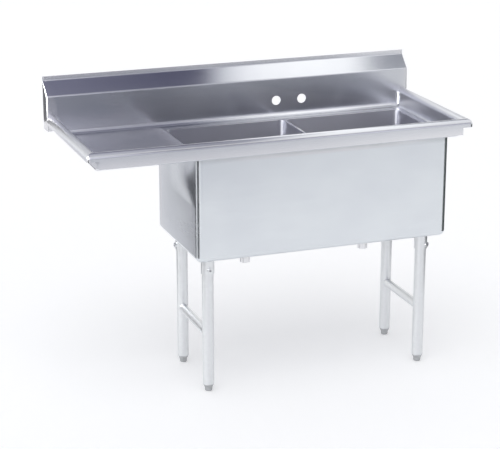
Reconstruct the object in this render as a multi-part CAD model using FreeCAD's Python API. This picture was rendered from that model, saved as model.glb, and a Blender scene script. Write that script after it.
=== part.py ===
import FreeCAD, Part
import math
import os

Vector = FreeCAD.Vector

# Commercial two-compartment sink with a drainboard on its left, in millimetres.
# The origin is on the floor under the middle of the outline. +X runs to the sink's right,
# +Y towards the wall and +Z up.

# Sheet metal
SHEET = 1.5
FOLD = 3.0

# Height of the rolled rim above the floor, and of the rim above the deck
RIM_HEIGHT = 930.0
RIM_RISE = 68.0

# Bowls, inside
BOWL_WIDTH = 454.0
BOWL_LENGTH = 432.0
BOWL_DEPTH = 356.0
BOWL_COVE = 20.0
BOWL_LIP_ROUND = 3.0
DIVIDER = 10.0

# Deck around the bowls
DRAINBOARD = 377.0
RIGHT_LEDGE = 29.0
FRONT_LEDGE = 18.5
REAR_LEDGE = 62.5

# Rolled rims
ROLL_WIDTH = 38.0
RIM_COVE = 8.0
SIDE_LIP = 28.0
FRONT_LIP = 54.0
CORNER_NOTCH = 40.0
CORNER_COVE = 10.0
CORNER_COVE_EDGE = 2.0

# Backsplash
SPLASH_COVE = 16.0
SPLASH_FACE = 142.0
SPLASH_SLOPE_RISE = 47.0
SPLASH_TOP_EDGE = 16.0
SPLASH_SETBACK = 52.0
END_CAP_BELOW_RIM = 53.0

# Tap holes in the backsplash
TAP_SPACING = 101.6
TAP_HOLE = 34.9
TAP_ABOVE_DECK = 59.0
TAP_RIGHT_OF_DIVIDER = 45.0

# Apron round the bowls
APRON_CLEARANCE = 2.0
APRON_LEFT_CLEARANCE = 23.5
APRON_BEND = 22.0
APRON_LOWER_BEND = 20.0
APRON_HEM = 16.0
APRON_BELOW_BOWL = 14.5

# Legs, sockets and rails
LEG_DIAMETER = 41.3
LEG_WALL = 1.6
LEG_INSET_LEFT = 24.5
LEG_INSET_RIGHT = 77.5
LEG_INSET_FRONT = 38.0
LEG_SPACING = 290.0
SOCKET_CLEARANCE = 0.3
SOCKET_WALL = 3.0
SOCKET_HEIGHT = 62.0
SOCKET_PLATE = 64.0
SOCKET_PLATE_THICKNESS = 3.0
SOCKET_ROUND = 7.0
SOCKET_BOSS = 18.0
SOCKET_BOSS_PROUD = 5.0
SCREW_DIAMETER = 8.0
SCREW_ABOVE_SOCKET_END = 18.0
SCREW_PROUD = 2.0
SCREW_KEY = 4.0
SCREW_KEY_DEPTH = 4.0
SCREW_CLEARANCE = 0.1
RAIL_DIAMETER = 31.8
RAIL_WALL = 1.5
RAIL_HEIGHT = 215.0

# Adjustable feet
FOOT_TOP = 39.0
FOOT_COLLAR = 2.0
FOOT_CONE = 9.0
FOOT_NECK = 28.0
FOOT_BOTTOM = 26.0
FOOT_HEIGHT = 25.0
FOOT_EDGE = 2.5
FOOT_STEM = 15.9
FOOT_STEM_LENGTH = 85.0
FOOT_GAP = 0.6
INSERT_FLANGE = 2.0
INSERT_LENGTH = 32.0
STEM_CLEARANCE = 0.3

# Drain in each bowl
DISH_DIAMETER = 260.0
DISH_FALL = 5.0
DRAIN_HOLE = 89.0
DRAIN_FLANGE = 114.0
DRAIN_FLANGE_THICKNESS = 2.0
DRAIN_FLANGE_CLEARANCE = 0.5
DRAIN_THROAT = 86.0
DRAIN_WALL = 3.0
DRAIN_SEAT_DEPTH = 13.0
DRAIN_SEAT_WIDTH = 4.0
DRAIN_CUP_DEPTH = 42.0
DRAIN_CONE = 12.0
OUTLET_DIAMETER = 42.0
OUTLET_LENGTH = 14.0
GASKET_THICKNESS = 3.0
GASKET_DIAMETER = 112.0
LOCKNUT_HEIGHT = 8.0
LOCKNUT_DIAMETER = 104.0
LUG_COUNT = 6
LUG_LENGTH = 8.0
LUG_WIDTH = 14.0
LUG_HEIGHT = 5.0
THREAD_CLEARANCE = 0.2
TAILPIECE_DIAMETER = 38.1
TAILPIECE_WALL = 1.6
TAILPIECE_FLANGE = 2.0
TAILPIECE_LENGTH = 28.0
TAILPIECE_NECK = 0.3
NECK_BELOW_NUT = 2.0
NUT_FLATS = 52.0
NUT_FLOOR = 3.0
NUT_OVERLAP = 11.0

# Strainer basket in each drain
BASKET_CLEARANCE = 0.6
BASKET_WALL = 1.2
BASKET_RIM = 1.6
BASKET_DEPTH = 22.0
BASKET_HOLE = 6.0
INNER_HOLE_COUNT = 6
OUTER_HOLE_COUNT = 12
SLOT_COUNT = 12
BASKET_SLOT_WIDTH = 4.0
BASKET_SLOT_HEIGHT = 12.0
KNOB_DIAMETER = 20.0
KNOB_HEIGHT = 8.0
KNOB_EDGE = 2.0
KNOB_STEM = 7.0
KNOB_ABOVE_FLOOR = 26.0

# Points and heights closer than this are the same
SAME_POINT = 1e-6

# Places worked out from the sizes above
FLANGE_SIDE = DIVIDER / 2
ROLL = ROLL_WIDTH / 2
BOWL_PITCH = BOWL_WIDTH + DIVIDER
INNER_WIDTH = DRAINBOARD + 2 * BOWL_PITCH + RIGHT_LEDGE
INNER_DEPTH = FRONT_LEDGE + BOWL_LENGTH + REAR_LEDGE
WIDTH = INNER_WIDTH + 2 * ROLL_WIDTH
DEPTH = ROLL_WIDTH + INNER_DEPTH + SPLASH_SETBACK

X_LEFT = -WIDTH / 2
X_RIGHT = WIDTH / 2
X_RIM_LEFT = X_LEFT + ROLL_WIDTH
X_RIM_RIGHT = X_RIGHT - ROLL_WIDTH
X_BOARD = X_RIM_LEFT + DRAINBOARD
X_DIVIDER = X_BOARD + BOWL_PITCH
X_LEDGE = X_DIVIDER + BOWL_PITCH
X_BOWLS = {"left": X_BOARD + BOWL_PITCH / 2, "right": X_DIVIDER + BOWL_PITCH / 2}

Y_FRONT = -DEPTH / 2
Y_WALL = DEPTH / 2
Y_RIM = Y_FRONT + ROLL_WIDTH
Y_BOWL_FRONT = Y_RIM + FRONT_LEDGE
Y_BOWL_REAR = Y_BOWL_FRONT + BOWL_LENGTH
Y_BOWL = (Y_BOWL_FRONT + Y_BOWL_REAR) / 2
Y_SPLASH = Y_BOWL_REAR + REAR_LEDGE
Y_DECK_FRONT = Y_RIM + RIM_COVE
Y_DECK_REAR = Y_SPLASH - SPLASH_COVE

Z_DECK = RIM_HEIGHT - RIM_RISE
Z_FLOOR = Z_DECK - BOWL_DEPTH
Z_UNDER = Z_FLOOR - SHEET
Z_BEND = Z_DECK + SPLASH_FACE
Z_SLOPE_TOP = Z_BEND + SPLASH_SLOPE_RISE
Z_TOP = Z_SLOPE_TOP + SPLASH_TOP_EDGE

X_LEGS = {
    "left": X_BOARD + FLANGE_SIDE - SHEET + LEG_INSET_LEFT,
    "right": X_LEDGE - FLANGE_SIDE + SHEET - LEG_INSET_RIGHT,
}
Y_LEG_FRONT = Y_BOWL_FRONT - SHEET + LEG_INSET_FRONT
Y_LEGS = {"front": Y_LEG_FRONT, "rear": Y_LEG_FRONT + LEG_SPACING}
Z_LEG_TOP = Z_UNDER - SOCKET_PLATE_THICKNESS
Z_INSERT = FOOT_HEIGHT + FOOT_GAP
Z_LEG_END = Z_INSERT + INSERT_FLANGE
LEG_BORE = LEG_DIAMETER / 2 - LEG_WALL
SOCKET_BORE = LEG_DIAMETER / 2 + SOCKET_CLEARANCE
SOCKET_RADIUS = SOCKET_BORE + SOCKET_WALL
BOSS_FACE = SOCKET_RADIUS + SOCKET_BOSS_PROUD

X_APRON_LEFT = X_BOARD + FLANGE_SIDE - SHEET - APRON_LEFT_CLEARANCE - SHEET
X_APRON_RIGHT = X_LEDGE - FLANGE_SIDE + SHEET + APRON_CLEARANCE + SHEET
Y_APRON = Y_BOWL_FRONT - SHEET - APRON_CLEARANCE - SHEET
Y_APRON_REAR = Y_BOWL_REAR + SHEET
Z_APRON = Z_UNDER - APRON_BELOW_BOWL

# The dish falls to a recess that takes the drain's flange flush
RECESS = DRAIN_FLANGE / 2 + DRAIN_FLANGE_CLEARANCE
Z_DISH = Z_FLOOR - DISH_FALL
Z_DRAIN = Z_DISH - DRAIN_FLANGE_THICKNESS
Z_GASKET = Z_DRAIN - SHEET - GASKET_THICKNESS
Z_LOCKNUT = Z_GASKET - LOCKNUT_HEIGHT
Z_SEAT = Z_DISH - DRAIN_SEAT_DEPTH
Z_CUP_END = Z_DRAIN - DRAIN_CUP_DEPTH
Z_OUTLET = Z_CUP_END - DRAIN_CONE
Z_OUTLET_END = Z_OUTLET - OUTLET_LENGTH
CUP_BORE = DRAIN_THROAT / 2 - DRAIN_WALL
SEAT_BORE = CUP_BORE - DRAIN_SEAT_WIDTH
Z_NUT = Z_OUTLET_END - TAILPIECE_FLANGE - NUT_FLOOR
BASKET_RADIUS = SEAT_BORE - BASKET_CLEARANCE
Z_BASKET_RIM = Z_SEAT + BASKET_CLEARANCE / 2
Z_BASKET = Z_BASKET_RIM - BASKET_DEPTH


def on_xz(y):
    """Places a section point (u, v) at x = u, z = v on the plane at y."""
    return lambda u, v: Vector(u, y, v)


def on_yz(x):
    """Places a section point (u, v) at y = u, z = v on the plane at x."""
    return lambda u, v: Vector(x, u, v)


def on_xy(z):
    """Places a plan point (u, v) at x = u, y = v on the plane at z."""
    return lambda u, v: Vector(u, v, z)


def polygon(points, place):
    corners = [place(u, v) for u, v in points]
    return Part.Face(Part.makePolygon(corners + corners[:1]))


def hexagon(flats):
    """Corners of a hexagon, by its size across flats."""
    radius = flats / math.sqrt(3)
    turns = [math.radians(60 * i) for i in range(6)]
    return [(radius * math.cos(turn), radius * math.sin(turn)) for turn in turns]


def box(x0, x1, y0, y1, z0, z1):
    return Part.makeBox(x1 - x0, y1 - y0, z1 - z0, Vector(x0, y0, z0))


def cylinder(radius, x, y, z0, z1):
    return Part.makeCylinder(radius, z1 - z0, Vector(x, y, z0))


def tube(outer, inner, x, y, z0, z1):
    return cylinder(outer, x, y, z0, z1).cut(cylinder(inner, x, y, z0, z1))


def turned(points, x, y):
    """Solid turned about the upright axis at (x, y) from (radius, z) points."""
    section = polygon(points, lambda r, z: Vector(x + r, y, z))
    return section.revolve(Vector(x, y, 0), Vector(0, 0, 1), 360)


def bend_points(before, corner, after, radius):
    """Start, middle and end of the arc that rounds a corner, its centre and its turn (+1 left)."""
    along = (corner - before).normalize()
    onward = (after - corner).normalize()
    turn = 1 if along.cross(onward).z > 0 else -1
    reach = radius * math.tan(along.getAngle(onward) / 2)
    start = corner - along * reach
    end = corner + onward * reach
    centre = start + Vector(-along.y, along.x, 0) * radius * turn
    middle = centre + (corner - centre).normalize() * radius
    return start, middle, end, centre, turn


def folded_sheet(path, bends, thickness, place):
    """Section of a folded sheet. Its shown side follows the path with a rounded bend at each
    inner corner, and its thickness lies to the right of the path."""
    corners = [Vector(u, v, 0) for u, v in path]

    def square(a, b):
        along = (b - a).normalize()
        return Vector(along.y, -along.x, 0) * thickness

    shown = [[corners[0]]]
    hidden = [[corners[0] + square(corners[0], corners[1])]]
    for i, radius in enumerate(bends):
        before, corner, after = corners[i:i + 3]
        start, middle, end, centre, turn = bend_points(before, corner, after, radius)
        outward = (middle - centre).normalize()
        shown.append([start, middle, end])
        hidden.append([
            start + square(before, corner),
            centre + outward * (radius + turn * thickness),
            end + square(corner, after),
        ])
    shown.append([corners[-1]])
    hidden.append([corners[-1] + square(corners[-2], corners[-1])])
    stations = shown + [station[::-1] for station in hidden[::-1]]
    placed = [[place(p.x, p.y) for p in station] for station in stations]
    edges = []
    for station, following in zip(placed, placed[1:] + placed[:1]):
        if len(station) == 3:
            edges.append(Part.Arc(*station).toShape())
        if (following[0] - station[-1]).Length > SAME_POINT:
            edges.append(Part.makeLine(station[-1], following[0]))
    return Part.Face(Part.Wire(edges))


def backsplash():
    """Folded backsplash with its deck cove between the side rims and the two tap holes."""
    face_path = [
        (Y_DECK_REAR, Z_DECK),
        (Y_SPLASH, Z_DECK),
        (Y_SPLASH, Z_BEND),
        (Y_WALL - SHEET, Z_SLOPE_TOP),
        (Y_WALL - SHEET, Z_TOP),
    ]
    section = folded_sheet(face_path, [SPLASH_COVE, FOLD, FOLD], SHEET, on_yz(X_RIM_LEFT))
    middle = section.extrude(Vector(INNER_WIDTH, 0, 0))
    end_path = [(Y_SPLASH, RIM_HEIGHT - END_CAP_BELOW_RIM)] + face_path[2:]
    ends = []
    for x in (X_LEFT + SHEET, X_RIM_RIGHT):
        end = folded_sheet(end_path, [FOLD, FOLD], SHEET, on_yz(x))
        ends.append(end.extrude(Vector(ROLL_WIDTH - SHEET, 0, 0)))
    sheet = middle.fuse(ends)
    for side in (-1, 1):
        x = X_DIVIDER + TAP_RIGHT_OF_DIVIDER + side * TAP_SPACING / 2
        start = Vector(x, Y_SPLASH - SHEET, Z_DECK + TAP_ABOVE_DECK)
        sheet = sheet.cut(Part.makeCylinder(TAP_HOLE / 2, 3 * SHEET, start, Vector(0, 1, 0)))
    return sheet.removeSplitter()


def backsplash_end_cap(x):
    """Flat plate that closes one end of the hollow behind the backsplash."""
    z_low = RIM_HEIGHT - END_CAP_BELOW_RIM
    outline = [
        (Y_SPLASH, z_low),
        (Y_WALL, z_low),
        (Y_WALL, Z_TOP),
        (Y_WALL - SHEET, Z_TOP),
        (Y_WALL - SHEET, Z_SLOPE_TOP),
        (Y_SPLASH, Z_BEND),
    ]
    return polygon(outline, on_yz(x)).extrude(Vector(SHEET, 0, 0))


def deck_sheet(x0, x1):
    return box(x0, x1, Y_DECK_FRONT, Y_DECK_REAR, Z_DECK - SHEET, Z_DECK)


def coved_block(x, extra):
    """Block of the bowl's inside, grown by extra, with rounded upright and bottom edges."""
    half = BOWL_WIDTH / 2 + extra
    z_low = Z_FLOOR - extra
    block = box(x - half, x + half, Y_BOWL_FRONT - extra, Y_BOWL_REAR + extra, z_low, Z_DECK)
    rounded = [e for e in block.Edges if min(v.Z for v in e.Vertexes) < Z_DECK - BOWL_DEPTH / 2]
    return block.makeFillet(BOWL_COVE + extra, rounded)


def bowl(x):
    """Pressed bowl with its deck flange, a rounded lip and a dished floor with the drain hole."""
    half = BOWL_PITCH / 2
    shell = coved_block(x, SHEET).fuse(deck_sheet(x - half, x + half)).cut(coved_block(x, 0))
    dish = DISH_DIAMETER / 2
    shell = shell.cut(cylinder(dish, x, Y_BOWL, Z_UNDER - SHEET, Z_FLOOR + SHEET))
    top = [
        (dish, Z_FLOOR),
        (RECESS + SHEET, Z_DISH),
        (RECESS, Z_DISH),
        (RECESS, Z_DRAIN),
        (DRAIN_HOLE / 2, Z_DRAIN),
    ]
    under = [
        (DRAIN_HOLE / 2, Z_DRAIN - SHEET),
        (RECESS + SHEET, Z_DRAIN - SHEET),
        (RECESS + 2 * SHEET, Z_DISH - SHEET),
        (dish, Z_UNDER),
    ]
    shell = shell.fuse(turned(top + under, x, Y_BOWL)).removeSplitter()
    inside = BOWL_WIDTH / 2 + BOWL_LIP_ROUND
    lip = []
    for edge in shell.Edges:
        low, high = edge.BoundBox.ZMin, edge.BoundBox.ZMax
        at_deck = abs(low - Z_DECK) < SAME_POINT and abs(high - Z_DECK) < SAME_POINT
        centre = edge.CenterOfMass
        in_opening = abs(centre.x - x) < inside and Y_DECK_FRONT < centre.y < Y_DECK_REAR
        if at_deck and in_opening and abs(centre.y - Y_BOWL) < BOWL_LENGTH / 2 + BOWL_LIP_ROUND:
            lip.append(edge)
    return shell.makeFillet(BOWL_LIP_ROUND, lip)


def rim_section(lip, inner, outward, place):
    """Section of a rolled rim: cove at the deck, upright side, half-round roll and outer lip.
    inner is the upright side's place and outward (+1 or -1) the way the roll turns."""
    path = [
        (-RIM_COVE, Z_DECK),
        (0, Z_DECK),
        (0, RIM_HEIGHT),
        (ROLL_WIDTH, RIM_HEIGHT),
        (ROLL_WIDTH, RIM_HEIGHT - lip),
    ]
    return folded_sheet(path, [RIM_COVE, ROLL, ROLL], SHEET, lambda u, v: place(inner + outward * u, v))


def mitre(x_rim, side, keep_front):
    """Block that trims a rim at a front corner to the corner's 45 degree line."""
    reach = 2 * ROLL_WIDTH
    near = (x_rim + side * reach, Y_RIM - reach)
    far = (x_rim - side * reach, Y_RIM + reach)
    third = (x_rim + side * reach, Y_RIM + reach) if keep_front else (x_rim - side * reach, Y_RIM - reach)
    return polygon([near, far, third], on_xy(Z_DECK - RIM_RISE)).extrude(Vector(0, 0, 3 * RIM_RISE))


def front_rim():
    """Front roll, mitred at both ends, with its deep lip cut away at the corners."""
    section = rim_section(FRONT_LIP, Y_RIM, -1, on_yz(X_LEFT))
    rim = section.extrude(Vector(WIDTH, 0, 0))
    lip_back = Y_FRONT + 2 * SHEET
    z_low = RIM_HEIGHT - FRONT_LIP
    z_high = RIM_HEIGHT - SIDE_LIP
    for x_rim, side, x_end in ((X_RIM_LEFT, -1, X_LEFT), (X_RIM_RIGHT, 1, X_RIGHT)):
        rim = rim.cut(mitre(x_rim, side, True))
        x0, x1 = sorted((x_end, x_end - side * CORNER_NOTCH))
        rim = rim.cut(box(x0, x1, Y_FRONT, lip_back, z_low, z_high))
    return rim


def side_rim(x_rim, side):
    """Side roll from the front mitre to the backsplash, with a cove in its upright rear corner."""
    section = rim_section(SIDE_LIP, x_rim, side, on_xz(Y_FRONT))
    rim = section.extrude(Vector(0, Y_SPLASH - Y_FRONT, 0))
    rim = rim.cut(mitre(x_rim, side, False))
    x0, x1 = sorted((x_rim, x_rim - side * RIM_COVE))
    rim = rim.cut(box(x0, x1, Y_DECK_REAR, Y_SPLASH, Z_DECK - SHEET, Z_DECK + RIM_COVE))
    z_low = Z_DECK + SPLASH_COVE
    z_high = RIM_HEIGHT - ROLL
    reach = CORNER_COVE - CORNER_COVE_EDGE
    x0, x1 = sorted((x_rim, x_rim - side * reach))
    cove = box(x0, x1, Y_SPLASH - reach, Y_SPLASH, z_low, z_high)
    hollow = cylinder(CORNER_COVE, x_rim - side * CORNER_COVE, Y_SPLASH - CORNER_COVE, z_low, z_high)
    return rim.fuse(cove.cut(hollow)).removeSplitter()


def apron_block(inset):
    """Block round the bowls, set in by inset, with rounded front corners and lower edges."""
    block = box(X_APRON_LEFT + inset, X_APRON_RIGHT - inset, Y_APRON + inset, Y_APRON_REAR,
                Z_APRON + inset, Z_DECK - SHEET)
    upright = [e for e in block.Edges if e.BoundBox.YMax < Y_BOWL and e.BoundBox.XLength < SAME_POINT]
    block = block.makeFillet(APRON_BEND - inset, upright)
    z_low = Z_APRON + inset + SAME_POINT
    lower = [e for e in block.Edges if e.BoundBox.ZMax < z_low and e.BoundBox.YMin < Y_BOWL]
    return block.makeFillet(APRON_LOWER_BEND - inset, lower)


def front_apron():
    """One sheet wrapped round the front and both sides of the bowls, its lower edge turned in."""
    opening = box(X_APRON_LEFT + APRON_HEM, X_APRON_RIGHT - APRON_HEM, Y_APRON + APRON_HEM, Y_APRON_REAR,
                  Z_APRON, Z_UNDER)
    return apron_block(0).cut(apron_block(SHEET)).cut(opening)


def leg_socket(x, y, screw_angle):
    """Turned socket: round plate under the bowl, rounded into the sleeve, and a boss for the screw."""
    z_end = Z_LEG_TOP - SOCKET_HEIGHT
    plate = cylinder(SOCKET_PLATE / 2, x, y, Z_LEG_TOP, Z_UNDER)
    sleeve = cylinder(SOCKET_RADIUS, x, y, z_end, Z_LEG_TOP)
    socket = plate.fuse(sleeve)
    root = [e for e in socket.Edges if abs(e.BoundBox.ZMax - Z_LEG_TOP) < SAME_POINT
            and abs(e.BoundBox.XLength - 2 * SOCKET_RADIUS) < SAME_POINT]
    socket = socket.makeFillet(SOCKET_ROUND, root)
    outward = Vector(math.cos(screw_angle), math.sin(screw_angle), 0)
    start = Vector(x, y, z_end + SCREW_ABOVE_SOCKET_END)
    socket = socket.fuse(Part.makeCylinder(SOCKET_BOSS / 2, BOSS_FACE, start, outward))
    socket = socket.cut(cylinder(SOCKET_BORE, x, y, z_end, Z_LEG_TOP))
    hole_radius = SCREW_DIAMETER / 2 + SCREW_CLEARANCE
    return socket.cut(Part.makeCylinder(hole_radius, BOSS_FACE + SCREW_PROUD, start, outward))


def set_screw(x, y, angle):
    """Set screw through the boss, its tip on the leg and a hexagon key hole in its head."""
    outward = Vector(math.cos(angle), math.sin(angle), 0)
    axis = Vector(x, y, Z_LEG_TOP - SOCKET_HEIGHT + SCREW_ABOVE_SOCKET_END)
    tip = axis + outward * (LEG_DIAMETER / 2)
    length = BOSS_FACE + SCREW_PROUD - LEG_DIAMETER / 2
    screw = Part.makeCylinder(SCREW_DIAMETER / 2, length, tip, outward)
    across = Vector(-outward.y, outward.x, 0)
    head = axis + outward * (BOSS_FACE + SCREW_PROUD)
    key = polygon(hexagon(SCREW_KEY), lambda u, v: head + across * u + Vector(0, 0, v))
    return screw.cut(key.extrude(outward * -SCREW_KEY_DEPTH))


def leg(x, y):
    return tube(LEG_DIAMETER / 2, LEG_BORE, x, y, Z_LEG_END, Z_LEG_TOP)


def side_rail(x):
    """Tube from the front leg to the rear leg, its ends shaped to the legs."""
    start = Vector(x, Y_LEGS["front"], RAIL_HEIGHT)
    along = Vector(0, 1, 0)
    rail = Part.makeCylinder(RAIL_DIAMETER / 2, LEG_SPACING, start, along)
    rail = rail.cut(Part.makeCylinder(RAIL_DIAMETER / 2 - RAIL_WALL, LEG_SPACING, start, along))
    for y in Y_LEGS.values():
        rail = rail.cut(cylinder(LEG_DIAMETER / 2, x, y, Z_LEG_END, Z_LEG_TOP))
    return rail


def foot_insert(x, y):
    """Plug in the leg's end with the bore for the foot's stem."""
    plug = cylinder(LEG_BORE, x, y, Z_LEG_END, Z_LEG_END + INSERT_LENGTH)
    flange = cylinder(LEG_DIAMETER / 2, x, y, Z_INSERT, Z_LEG_END)
    bore = cylinder(FOOT_STEM / 2 + STEM_CLEARANCE, x, y, Z_INSERT, Z_LEG_END + INSERT_LENGTH)
    return plug.fuse(flange).cut(bore)


def bullet_foot(x, y):
    """Foot with a collar, a cone and a rounded end, and the stem that screws into the insert."""
    points = [
        (0, 0),
        (FOOT_BOTTOM / 2, 0),
        (FOOT_NECK / 2, FOOT_HEIGHT - FOOT_COLLAR - FOOT_CONE),
        (FOOT_TOP / 2, FOOT_HEIGHT - FOOT_COLLAR),
        (FOOT_TOP / 2, FOOT_HEIGHT),
        (FOOT_STEM / 2, FOOT_HEIGHT),
        (FOOT_STEM / 2, FOOT_HEIGHT + FOOT_STEM_LENGTH),
        (0, FOOT_HEIGHT + FOOT_STEM_LENGTH),
    ]
    foot = turned(points, x, y)
    lower = [e for e in foot.Edges if e.BoundBox.ZMax < SAME_POINT and e.Curve.TypeId == "Part::GeomCircle"]
    return foot.makeFillet(FOOT_EDGE, lower)


def drain_body(x):
    """Flanged cup with a seat for the strainer basket, a cone and the threaded outlet."""
    throat = DRAIN_THROAT / 2
    outlet = OUTLET_DIAMETER / 2
    bore = TAILPIECE_DIAMETER / 2 - TAILPIECE_WALL
    points = [
        (CUP_BORE, Z_DISH),
        (DRAIN_FLANGE / 2, Z_DISH),
        (DRAIN_FLANGE / 2, Z_DRAIN),
        (throat, Z_DRAIN),
        (throat, Z_CUP_END),
        (outlet, Z_OUTLET),
        (outlet, Z_OUTLET_END),
        (bore, Z_OUTLET_END),
        (bore, Z_OUTLET + DRAIN_WALL),
        (SEAT_BORE, Z_CUP_END + DRAIN_WALL),
        (SEAT_BORE, Z_SEAT),
        (CUP_BORE, Z_SEAT),
    ]
    return turned(points, x, Y_BOWL)


def drain_gasket(x):
    return tube(GASKET_DIAMETER / 2, DRAIN_HOLE / 2, x, Y_BOWL, Z_GASKET, Z_GASKET + GASKET_THICKNESS)


def drain_locknut(x):
    """Ring nut that clamps the drain, with lugs round it for a wrench."""
    ring = cylinder(LOCKNUT_DIAMETER / 2, x, Y_BOWL, Z_LOCKNUT, Z_GASKET)
    lugs = []
    reach = LOCKNUT_DIAMETER / 2 + LUG_LENGTH
    half = LUG_WIDTH / 2
    for i in range(LUG_COUNT):
        lug = box(x, x + reach, Y_BOWL - half, Y_BOWL + half, Z_LOCKNUT, Z_LOCKNUT + LUG_HEIGHT)
        lug.rotate(Vector(x, Y_BOWL, 0), Vector(0, 0, 1), i * 360 / LUG_COUNT)
        lugs.append(lug)
    nut = ring.fuse(lugs).removeSplitter()
    return nut.cut(cylinder(DRAIN_THROAT / 2 + THREAD_CLEARANCE, x, Y_BOWL, Z_LOCKNUT, Z_GASKET))


def drain_tailpiece(x):
    """Thin tube below the outlet, with the flange that the coupling nut draws up."""
    outer = TAILPIECE_DIAMETER / 2
    inner = outer - TAILPIECE_WALL
    z_flange = Z_OUTLET_END - TAILPIECE_FLANGE
    flange = tube(OUTLET_DIAMETER / 2, inner, x, Y_BOWL, z_flange, Z_OUTLET_END)
    z_neck = Z_NUT - NECK_BELOW_NUT
    neck = tube(outer - TAILPIECE_NECK, inner, x, Y_BOWL, z_neck, z_flange)
    pipe = tube(outer, inner, x, Y_BOWL, Z_OUTLET_END - TAILPIECE_LENGTH, z_neck)
    return flange.fuse([neck, pipe]).removeSplitter()


def drain_coupling_nut(x):
    """Hexagon nut round the outlet; its floor holds the tailpiece's flange."""
    z_top = Z_OUTLET_END + NUT_OVERLAP
    outline = polygon(hexagon(NUT_FLATS), lambda u, v: Vector(x + u, Y_BOWL + v, Z_NUT))
    nut = outline.extrude(Vector(0, 0, z_top - Z_NUT))
    nut = nut.cut(cylinder(OUTLET_DIAMETER / 2 + THREAD_CLEARANCE, x, Y_BOWL, Z_NUT + NUT_FLOOR, z_top))
    return nut.cut(cylinder(TAILPIECE_DIAMETER / 2 + THREAD_CLEARANCE, x, Y_BOWL, Z_NUT, Z_NUT + NUT_FLOOR))


def strainer_basket(x):
    """Perforated cup that hangs on the drain's seat, with slots round it and a lifting knob."""
    inner = BASKET_RADIUS - BASKET_WALL
    floor = Z_BASKET + BASKET_WALL
    z_knob = Z_BASKET + KNOB_ABOVE_FLOOR
    cup = turned([
        (0, Z_BASKET),
        (BASKET_RADIUS, Z_BASKET),
        (BASKET_RADIUS, Z_BASKET_RIM),
        (CUP_BORE - BASKET_CLEARANCE, Z_BASKET_RIM),
        (CUP_BORE - BASKET_CLEARANCE, Z_BASKET_RIM + BASKET_RIM),
        (inner, Z_BASKET_RIM + BASKET_RIM),
        (inner, floor),
        (KNOB_STEM / 2, floor),
        (KNOB_STEM / 2, z_knob),
        (KNOB_DIAMETER / 2, z_knob),
        (KNOB_DIAMETER / 2, z_knob + KNOB_HEIGHT - KNOB_EDGE),
        (KNOB_DIAMETER / 2 - KNOB_EDGE, z_knob + KNOB_HEIGHT),
        (0, z_knob + KNOB_HEIGHT),
    ], x, Y_BOWL)
    cuts = []
    step = (inner - KNOB_STEM / 2) / 3
    for ring, count in ((1, INNER_HOLE_COUNT), (2, OUTER_HOLE_COUNT)):
        radius = KNOB_STEM / 2 + ring * step
        for i in range(count):
            turn = math.radians(360 * i / count)
            hole_x = x + radius * math.cos(turn)
            hole_y = Y_BOWL + radius * math.sin(turn)
            cuts.append(cylinder(BASKET_HOLE / 2, hole_x, hole_y, Z_BASKET, floor))
    z_slot = (floor + Z_BASKET_RIM - BASKET_SLOT_HEIGHT) / 2
    z_slot_top = z_slot + BASKET_SLOT_HEIGHT
    half = BASKET_SLOT_WIDTH / 2
    for i in range(SLOT_COUNT):
        slot = box(x + inner - BASKET_WALL, x + CUP_BORE, Y_BOWL - half, Y_BOWL + half, z_slot, z_slot_top)
        slot.rotate(Vector(x, Y_BOWL, 0), Vector(0, 0, 1), 360 * i / SLOT_COUNT)
        cuts.append(slot)
    return cup.cut(cuts)


def sheet_metal():
    return {
        "backsplash": backsplash(),
        "backsplash_end_cap_left": backsplash_end_cap(X_LEFT),
        "backsplash_end_cap_right": backsplash_end_cap(X_RIGHT - SHEET),
        "drainboard": deck_sheet(X_RIM_LEFT + RIM_COVE, X_BOARD),
        "right_ledge": deck_sheet(X_LEDGE, X_RIM_RIGHT - RIM_COVE),
        "front_rim": front_rim(),
        "left_rim": side_rim(X_RIM_LEFT, -1),
        "right_rim": side_rim(X_RIM_RIGHT, 1),
        "front_apron": front_apron(),
        "left_bowl": bowl(X_BOWLS["left"]),
        "right_bowl": bowl(X_BOWLS["right"]),
    }


# Way that each set screw faces, in degrees from +X
SCREW_FACES = {"front_left": -90, "front_right": -57, "rear_left": 180, "rear_right": 0}


def undercarriage():
    pieces = {}
    screws = []
    for side, x in X_LEGS.items():
        pieces["side_rail_" + side] = side_rail(x)
        for end, y in Y_LEGS.items():
            place = end + "_" + side
            angle = math.radians(SCREW_FACES[place])
            pieces["leg_socket_" + place] = leg_socket(x, y, angle)
            pieces["leg_" + place] = leg(x, y)
            pieces["foot_insert_" + place] = foot_insert(x, y)
            pieces["bullet_foot_" + place] = bullet_foot(x, y)
            screws.append(set_screw(x, y, angle))
    pieces["socket_set_screws"] = Part.makeCompound(screws)
    return pieces


def drains():
    pieces = {}
    for side, x in X_BOWLS.items():
        pieces["drain_body_" + side] = drain_body(x)
        pieces["drain_gasket_" + side] = drain_gasket(x)
        pieces["drain_locknut_" + side] = drain_locknut(x)
        pieces["drain_tailpiece_" + side] = drain_tailpiece(x)
        pieces["drain_coupling_nut_" + side] = drain_coupling_nut(x)
        pieces["strainer_basket_" + side] = strainer_basket(x)
    return pieces


os.makedirs("parts", exist_ok=True)
for name, shape in {**sheet_metal(), **undercarriage(), **drains()}.items():
    shape.exportStep("parts/" + name + ".step")
    print(name, len(shape.Solids), shape.isValid(), round(shape.Volume))
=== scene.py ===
import math

import bmesh
import bpy
from mathutils import Matrix, Vector, noise

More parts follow.
